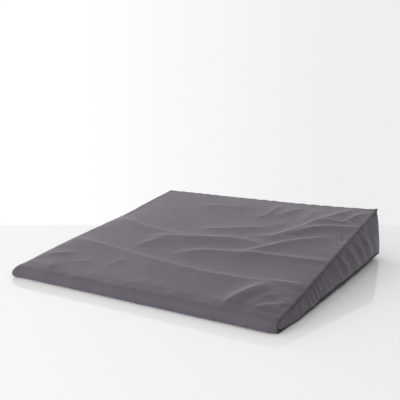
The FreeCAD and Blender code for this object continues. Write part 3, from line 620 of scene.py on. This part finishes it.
def foam_wedge(material):
    """The foam block: rings of its side outline, carried across the width and closed at both ends.

    The outline has points 1 and 5 mm from each corner. The gaps are those between it and the cover's form.
    """
    nose_gap, front_top_gap, front_floor_gap = 4.5, 5.0, 3.0
    rear_gap, rear_floor_gap, side_gap = 5.5, 7.0, 5.0
    y_low, y_high = NOSE + nose_gap, REAR - rear_gap
    corners = [(y_high, rear_floor_gap), (y_high, HEIGHT - rear_gap), (y_low, NOSE_HEIGHT - front_top_gap),
               (y_low, front_floor_gap)]
    sides = np.array(corners + corners[:1], float)
    runs = np.hypot(*np.diff(sides, axis=0).T)
    along = np.concatenate([[0], np.cumsum(runs)])
    even = np.linspace(0, 1, 72, endpoint=False) * along[-1]
    t = np.unique(np.concatenate([even, along[:-1] + 5, along[1:] - 5, along[:-1] + 1, along[1:] - 1]))
    t = t[(t >= 0) & (t < along[-1])]
    y, z = np.interp(t, along, sides[:, 0]), np.interp(t, along, sides[:, 1])
    centre_y = np.clip(y, y_low + 30, y_high - 30)
    centre_z = np.clip(z, 10, 14)
    ends = SIDE - side_gap

    # each ring by its place across the width and its share of the way in to the end face's middle
    rows = []
    for edge, pull in ((0.0, 1.0), (0.0, 0.35), (0.0, 4.0 / 30), (1.2, 1.5 / 30), (4.0, 0.0)):
        rows.append((-ends + edge, pull))
    rows += [(value, 0.0) for value in np.linspace(-ends + 20, ends - 20, 24)]
    rows += [(-value, pull) for value, pull in rows[4::-1]]
    x = np.array([row[0] for row in rows])[:, None] * np.ones(len(t))[None, :]
    pull = np.array([row[1] for row in rows])[:, None]
    points = np.stack([x, y + (centre_y - y) * pull, z + (centre_z - z) * pull], axis=-1)
    uv = np.stack([x * 0.001, np.broadcast_to(t * 0.001, x.shape)], axis=-1)
    return mesh_from_grid("foam_block", points, uv, material, flip=True, wrap=True)


# ---------------------------------------------------------------- zip

def zip_tape(side, material):
    """Half of the zip's tape: a flat band, pressed in a little between the sewn cord and its free edge.

    The outer face lies 0.02 under the tape's CAD face, less 0.12 sin(pi share) squared, and is a little wavy.
    """
    low_corner, high_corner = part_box("zip_tape_upper" if side > 0 else "zip_tape_lower")
    x_lines = spaced(low_corner.x * 1000, high_corner.x * 1000, 2.0)
    near = side * (low_corner.z if side > 0 else high_corner.z) * 1000
    far = side * (high_corner.z if side > 0 else low_corner.z) * 1000
    share = np.linspace(0, 1, 13)
    x, share = np.meshgrid(x_lines, share)
    z = side * (near + (far - near) * share)
    y = high_corner.y * 1000 - 0.12 * np.sin(math.pi * share) ** 2 - 0.02
    y -= 0.05 * (1 + wander(x, 34, 91 + side)) * ease(share * 3)
    uv = np.stack([x * 0.001, z * 0.001], axis=-1)
    points = np.stack([x, y, z], axis=-1)
    name = "zip_tape_cloth_upper" if side > 0 else "zip_tape_cloth_lower"
    piece = mesh_from_grid(name, points, uv, material, flip=side > 0)
    return thicken(piece, 0.5)


def zip_coil(side, material):
    """One row of the coil: a filament wound flat, whose legs lie one over the other and step on at its back.

    With t in turns, x goes on as t + 0.85 sin(2 pi t) / 2 pi pitches, and the section runs round an ellipse.
    """
    name = "zip_coil_upper" if side > 0 else "zip_coil_lower"
    low_corner, high_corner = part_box(name)
    slider_low, slider_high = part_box("zip_slider")
    radius, pitch, overlap, half_width = 0.44, 2.2, 0.8, 3.5
    end_gap, parted, split_inset, wedge_inset = 0.46, 1.7, 3.0, 8.1
    start = low_corner.x * 1000 + (end_gap if side > 0 else end_gap + pitch / 2)
    turns = int((high_corner.x * 1000 - start - radius) / pitch)
    t = np.linspace(0.5, turns + 0.5, turns * 12 + 1)
    turn = 2 * math.pi * t
    x = start + pitch * (t - 0.5 + 0.85 / (2 * math.pi) * np.sin(turn))
    split, wedge_end = slider_low.x * 1000 + split_inset, slider_high.x * 1000 - wedge_inset
    spread = parted * np.clip((x - split) / (wedge_end - split), 0, 1)
    reach = (half_width + overlap) / 2 - radius
    middle = (half_width - overlap) / 2 + spread
    low_y, high_y = low_corner.y * 1000, high_corner.y * 1000
    swing = (high_y - low_y) / 2 - radius
    line = np.stack([x, (low_y + high_y) / 2 + swing * np.sin(turn),
                     ZIP_HEIGHT + side * (middle + reach * np.cos(turn))], axis=-1)
    tangent = np.gradient(line, axis=0)
    tangent /= np.linalg.norm(tangent, axis=1, keepdims=True)
    outward = np.stack([np.zeros_like(t), np.sin(turn), side * np.cos(turn)], axis=-1)
    across = np.cross(tangent, outward)
    across /= np.linalg.norm(across, axis=1, keepdims=True)
    outward = np.cross(across, tangent)
    thick = radius * np.where((t > 0.5) & (t < turns + 0.5), 1.0, 0.02)
    around = np.arange(6) * math.pi / 3
    cosines, sines = np.cos(around)[None, :, None], np.sin(around)[None, :, None]
    ring = outward[:, None, :] * cosines + across[:, None, :] * sines
    points = line[:, None, :] + ring * thick[:, None, None]
    uv = np.stack(np.meshgrid(around / 6, t * 0.01), axis=-1)
    return mesh_from_grid(name + "_filament", points, uv, material, flip=True, wrap=True)


def stitch_row(name, z, z_low, z_high, material):
    """A line of thread along a zip edge: dashes 2.6 mm long and 3.4 mm apart, each a low half ellipsoid.

    The row follows the relief of its strip, which lies between z_low and z_high.
    """
    end_inset, pitch, half_length, height, half_width = 18, 3.4, 1.3, 0.3, 0.24
    rings, sides = 7, 5
    x_end = SIDE - end_inset
    centres = np.arange(-x_end, x_end, pitch)
    face = REAR + 0.26 + rear_relief(centres, np.full_like(centres, z), z_low, z_high)
    along = np.linspace(-1, 1, rings)
    around = np.linspace(0, math.pi, sides)
    girth = np.sqrt(1 - (along * 0.98) ** 2)
    one = np.stack([along[:, None] * half_length * np.ones(sides), girth[:, None] * height * np.sin(around),
                    girth[:, None] * half_width * np.cos(around)], axis=-1)
    points = one[None] + np.stack([centres, face, np.full_like(centres, z)], axis=-1)[:, None, None]
    quads = grid_quads(np.arange(len(centres) * rings * sides).reshape(len(centres), rings, sides))
    mesh = bpy.data.meshes.new(name)
    mesh.from_pydata((points.reshape(-1, 3) * 0.001).tolist(), [], quads.tolist())
    mesh.polygons.foreach_set("use_smooth", np.ones(len(mesh.polygons), bool))
    mesh.materials.append(material)
    return new_object(name, mesh)


# ---------------------------------------------------------------- materials

def new_material(name, colour, roughness, **sockets):
    """A Principled material with its plain values set on the shader's own sockets."""
    material = bpy.data.materials.new(name)
    material.use_nodes = True
    shader = material.node_tree.nodes["Principled BSDF"]
    shader.inputs["Base Color"].default_value = (*colour, 1)
    shader.inputs["Roughness"].default_value = roughness
    for key, value in sockets.items():
        shader.inputs[key.replace("_", " ")].default_value = value
    return material, material.node_tree, shader


def add(tree, kind, **settings):
    """A new node with its settings."""
    node = tree.nodes.new(kind)
    for key, value in settings.items():
        setattr(node, key, value)
    return node


def math_node(tree, operation, a, b=None):
    """A Math node whose inputs are sockets or numbers."""
    node = add(tree, "ShaderNodeMath", operation=operation)
    for slot, value in enumerate((a, b)):
        if value is None:
            continue
        if hasattr(value, "is_output"):
            tree.links.new(value, node.inputs[slot])
        else:
            node.inputs[slot].default_value = value
    return node.outputs[0]


def noise(tree, vector, scale, detail=3.0, roughness=0.5):
    """A Noise texture's value."""
    node = add(tree, "ShaderNodeTexNoise")
    node.inputs["Scale"].default_value = scale
    node.inputs["Detail"].default_value = detail
    node.inputs["Roughness"].default_value = roughness
    tree.links.new(vector, node.inputs["Vector"])
    return node.outputs["Fac"]


def stretched(tree, vector, x, y, z=1.0):
    """The vector scaled by a Mapping node."""
    node = add(tree, "ShaderNodeMapping")
    node.inputs["Scale"].default_value = (x, y, z)
    tree.links.new(vector, node.inputs["Vector"])
    return node.outputs["Vector"]


def ramp(tree, value, low_value, high_value):
    """A value from 0..1 spread to low..high."""
    node = add(tree, "ShaderNodeMapRange")
    node.inputs["From Min"].default_value = 0.3
    node.inputs["From Max"].default_value = 0.7
    node.inputs["To Min"].default_value = low_value
    node.inputs["To Max"].default_value = high_value
    tree.links.new(value, node.inputs["Value"])
    return node.outputs["Result"]


def colour_by(tree, shader, colour, tone):
    """The shader's base colour: the given one, scaled by a tone round 1."""
    tint = add(tree, "ShaderNodeVectorMath", operation="SCALE")
    tint.inputs[0].default_value = colour
    tree.links.new(tone, tint.inputs["Scale"])
    tree.links.new(tint.outputs[0], shader.inputs["Base Color"])


def bump_by(tree, shader, height, strength, distance):
    """The shader's normal, bumped by a height."""
    bump = add(tree, "ShaderNodeBump")
    bump.inputs["Strength"].default_value = strength
    bump.inputs["Distance"].default_value = distance
    tree.links.new(height, bump.inputs["Height"])
    tree.links.new(bump.outputs["Normal"], shader.inputs["Normal"])


def woven_cloth(name, colour, thread, weave_depth, crumple_depth, sheen, roughness=0.86, variation=0.12):
    """Plain woven cloth on the piece's own UV.

    Warp and weft are two sine waves that repeat every thread. Each yarn is a little lighter or darker along
    its length. Two larger noises mottle the colour, and two more crumple and roughen the surface.
    """
    material, tree, shader = new_material(name, colour, roughness, Specular_IOR_Level=0.75,
                                          Sheen_Weight=sheen, Sheen_Roughness=0.45,
                                          Sheen_Tint=(0.86, 0.82, 0.9, 1))
    links = tree.links
    place = add(tree, "ShaderNodeUVMap", uv_map="cloth").outputs["UV"]
    split = add(tree, "ShaderNodeSeparateXYZ")
    links.new(place, split.inputs[0])
    turn = 2 * math.pi / thread
    warp = math_node(tree, "SINE", math_node(tree, "MULTIPLY", split.outputs["X"], turn))
    weft = math_node(tree, "SINE", math_node(tree, "MULTIPLY", split.outputs["Y"], turn))
    weave = math_node(tree, "MULTIPLY", warp, weft)
    yarn_x = noise(tree, stretched(tree, place, 1 / thread, 0.05 / thread), 0.9, 1.0)
    yarn_y = noise(tree, stretched(tree, place, 0.05 / thread, 1 / thread), 0.9, 1.0)
    yarns = math_node(tree, "MULTIPLY", math_node(tree, "ADD", yarn_x, yarn_y), 0.5)
    patches = noise(tree, place, 14, 3.0)
    mottle = noise(tree, place, 150, 2.0)
    tone = math_node(tree, "ADD", ramp(tree, yarns, -variation, variation), ramp(tree, patches, -0.07, 0.07))
    tone = math_node(tree, "ADD", tone, ramp(tree, mottle, -0.035, 0.035))
    colour_by(tree, shader, colour, math_node(tree, "ADD", tone, 1.0))
    links.new(ramp(tree, mottle, roughness - 0.06, roughness + 0.06), shader.inputs["Roughness"])
    crumple = noise(tree, place, 55, 4.0, 0.6)
    fine = noise(tree, place, 700, 2.0)
    height = math_node(tree, "ADD", math_node(tree, "MULTIPLY", weave, weave_depth),
                       math_node(tree, "MULTIPLY", crumple, crumple_depth))
    height = math_node(tree, "ADD", height, math_node(tree, "MULTIPLY", fine, weave_depth * 1.5))
    bump_by(tree, shader, height, 0.8, 1.0)
    return material


def grained(name, colour, roughness, scale, depth, spread=0.1, metallic=0.0, tone_range=0.12):
    """A material whose colour, roughness and surface vary with noise on Object coordinates."""
    material, tree, shader = new_material(name, colour, roughness, Metallic=metallic)
    place = add(tree, "ShaderNodeTexCoord").outputs["Object"]
    broad = noise(tree, place, scale * 0.12, 3.0)
    fine = noise(tree, place, scale, 3.0, 0.6)
    tone = math_node(tree, "ADD", ramp(tree, broad, -tone_range, tone_range), 1.0)
    colour_by(tree, shader, colour, tone)
    tree.links.new(ramp(tree, fine, roughness - spread, roughness + spread), shader.inputs["Roughness"])
    bump_by(tree, shader, fine, 0.5, depth)
    return material


def dress(node, material):
    """Gives a CAD node its finished material."""
    mesh = frame["nodes"][node].data
    mesh.materials.clear()
    mesh.materials.append(material)


# ---------------------------------------------------------------- the mat

cover_material = woven_cloth("dark woven cover", (0.066, 0.0535, 0.0715), 0.0011, 0.00006, 0.0007, 0.2, 0.52)
# The base cloth is near-black. Where it turns up to the hem under the side walls it also paints in the shade
# there, so its dark colour is partly the base's own and partly painted shade.
dark_base_and_painted_hem_shade_material = woven_cloth("near-black base cloth with painted hem shade", (0.016, 0.015, 0.017), 0.0009, 0.00005, 0.0004, 0.1)
tape_material = woven_cloth("black zip tape", (0.02, 0.02, 0.022), 0.0007, 0.00006, 0.0, 0.1)
foam_material = grained("cream foam", (0.72, 0.66, 0.5), 0.9, 900, 0.0006, 0.05)
thread_material = grained("dark thread", (0.05, 0.045, 0.055), 0.7, 3000, 0.00003)
coil_material = grained("black nylon", (0.03, 0.03, 0.034), 0.42, 2500, 0.00004)
metal_material = grained("black lacquered zinc", (0.035, 0.035, 0.038), 0.34, 1800, 0.00003, 0.1, 0.6)

top = top_panel(cover_material)
right_wall = gusset(True, cover_material)
left_wall = gusset(False, cover_material)
upper_strip = rear_strip("cover_rear_upper_cloth", *UPPER_STRIP, 0.9, TUCK_ROLL, cover_material)
lower_strip = rear_strip("cover_rear_lower_cloth", *LOWER_STRIP, TUCK_ROLL, 0.9, cover_material)
base = base_panel(dark_base_and_painted_hem_shade_material)
foam = foam_wedge(foam_material)

for piece, node in ((top, "cover_top_panel"), (right_wall, "cover_right_gusset"),
                    (left_wall, "cover_left_gusset"), (upper_strip, "cover_rear_strip_upper"),
                    (lower_strip, "cover_rear_strip_lower"), (base, "cover_base_panel"), (foam, "foam_core")):
    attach(piece, "cover")
    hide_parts(node)

for side, end in ((1, "upper"), (-1, "lower")):
    tape = zip_tape(side, tape_material)
    coil = zip_coil(side, coil_material)
    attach(tape, "cover")
    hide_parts("zip_tape_" + end)
    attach(coil, "cover")
    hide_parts("zip_coil_" + end)
for name, z, strip in (("upper", UPPER_STRIP_LOW + STITCH_INSET, UPPER_STRIP),
                       ("lower", LOWER_STRIP_HIGH - STITCH_INSET, LOWER_STRIP)):
    stitches = stitch_row("zip_stitches_" + name, z, *strip, thread_material)
    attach(stitches, "cover")
for node in ("zip_top_stop_upper", "zip_top_stop_lower", "zip_bottom_stop", "zip_slider", "zip_pull"):
    dress(node, metal_material)


# ---------------------------------------------------------------- floor, light and camera

VIEW_YAW = math.radians(31.93)
VIEW_TILT = math.radians(9.44)
CAMERA_PLACE = (0.663, -1.097, 0.365)
CAMERA_LENS = 52.83
TABLE_FAR_EDGE = 1.735
AMBIENT_SIDE = (-0.78, -0.38, 0.5)
AMBIENT_RANGE = (0.37, 1.35)
GLOSS_CEILING = 0.25


def floor():
    """A glossy pale table top whose far edge runs square to the line of sight, 1.74 m from the camera."""
    ahead = Vector((-math.sin(VIEW_YAW), math.cos(VIEW_YAW), 0))
    across = Vector((math.cos(VIEW_YAW), math.sin(VIEW_YAW), 0))
    eye = Vector((CAMERA_PLACE[0], CAMERA_PLACE[1], 0))
    near, far, half_width = -2, TABLE_FAR_EDGE, 4
    ends = ((near, -half_width), (near, half_width), (far, half_width), (far, -half_width))
    corners = [eye + ahead * reach + across * side for reach, side in ends]
    mesh = bpy.data.meshes.new("studio_table")
    mesh.from_pydata([tuple(corner) for corner in corners], [], [(0, 1, 2, 3)])
    plane = new_object("studio_table", mesh)
    material, tree, shader = new_material("pale glossy table", (0.735, 0.74, 0.74), 0.05,
                                          Specular_IOR_Level=0.18)
    place = add(tree, "ShaderNodeTexCoord").outputs["Object"]
    tree.links.new(ramp(tree, noise(tree, place, 9, 3.0), 0.04, 0.08), shader.inputs["Roughness"])
    mesh.materials.append(material)


def graded(tree, direction, towards, ends, values):
    """A strength that goes evenly between two values, by how far the direction points towards a given one."""
    dot = add(tree, "ShaderNodeVectorMath", operation="DOT_PRODUCT")
    dot.inputs[1].default_value = towards
    tree.links.new(direction, dot.inputs[0])
    shade = add(tree, "ShaderNodeMapRange")
    for key, value in zip(("From Min", "From Max", "To Min", "To Max"), (*ends, *values)):
        shade.inputs[key].default_value = value
    tree.links.new(dot.outputs["Value"], shade.inputs["Value"])
    return shade.outputs["Result"]


def world():
    """Soft pale surroundings, whose light on the mat is strongest from the left front and above.

    The camera sees them nearly white, and a little darker to the right. Glossy surfaces see the same with a
    darker ceiling and a darker right wing.
    """
    scene_world = bpy.data.worlds.new("studio")
    bpy.context.scene.world = scene_world
    scene_world.use_nodes = True
    tree = scene_world.node_tree
    background = tree.nodes["Background"]
    background.inputs["Color"].default_value = (1, 1, 1, 1)
    direction = add(tree, "ShaderNodeTexCoord").outputs["Generated"]
    across = (math.cos(VIEW_YAW), math.sin(VIEW_YAW), 0)
    seen_shade = graded(tree, direction, across, (-0.2, 0.22), (1.0, 0.86))
    ceiling = graded(tree, direction, (0, 0, 1), (0.3, 0.85), (1.0, GLOSS_CEILING))
    wing = graded(tree, direction, across, (0.35, 0.9), (1.0, 0.25))
    light_shade = graded(tree, direction, AMBIENT_SIDE, (-1, 1), AMBIENT_RANGE)
    path = add(tree, "ShaderNodeLightPath")
    gloss_shade = math_node(tree, "MULTIPLY", math_node(tree, "MULTIPLY", seen_shade, ceiling), wing)
    strength = light_shade
    for ray, shade in (("Is Glossy Ray", gloss_shade), ("Is Camera Ray", seen_shade)):
        pick = add(tree, "ShaderNodeMix", data_type="FLOAT")
        tree.links.new(path.outputs[ray], pick.inputs["Factor"])
        tree.links.new(strength, pick.inputs["A"])
        tree.links.new(shade, pick.inputs["B"])
        strength = pick.outputs["Result"]
    tree.links.new(strength, background.inputs["Strength"])


def lamp(name, place, aim, size, power):
    """A soft square light that mirrors and the camera don't see."""
    light = bpy.data.lights.new(name, "AREA")
    light.shape = "SQUARE"
    light.size = size
    light.energy = power
    holder = new_object(name, light)
    holder.location = place
    holder.rotation_euler = (Vector(aim) - Vector(place)).to_track_quat("-Z", "Y").to_euler()
    holder.visible_camera = False
    holder.visible_glossy = False


def camera():
    """The camera in front of the right corner, a little above the mat."""
    lens = bpy.data.cameras.new("camera")
    lens.sensor_width = 36
    lens.lens = CAMERA_LENS
    lens.clip_end = 50
    holder = new_object("camera", lens)
    holder.location = CAMERA_PLACE
    holder.rotation_euler = (math.pi / 2 - VIEW_TILT, 0, VIEW_YAW)
    bpy.context.scene.camera = holder


floor()
world()
lamp("low window from the left rear", (-1.75, 1.55, 0.95), (0, 0, 0.05), 1.1, 9)
lamp("low fill from the front", (-0.5, -2.3, 0.36), (0, -0.1, 0), 1.2, 40)
camera()
bpy.context.scene.view_settings.view_transform = "Standard"
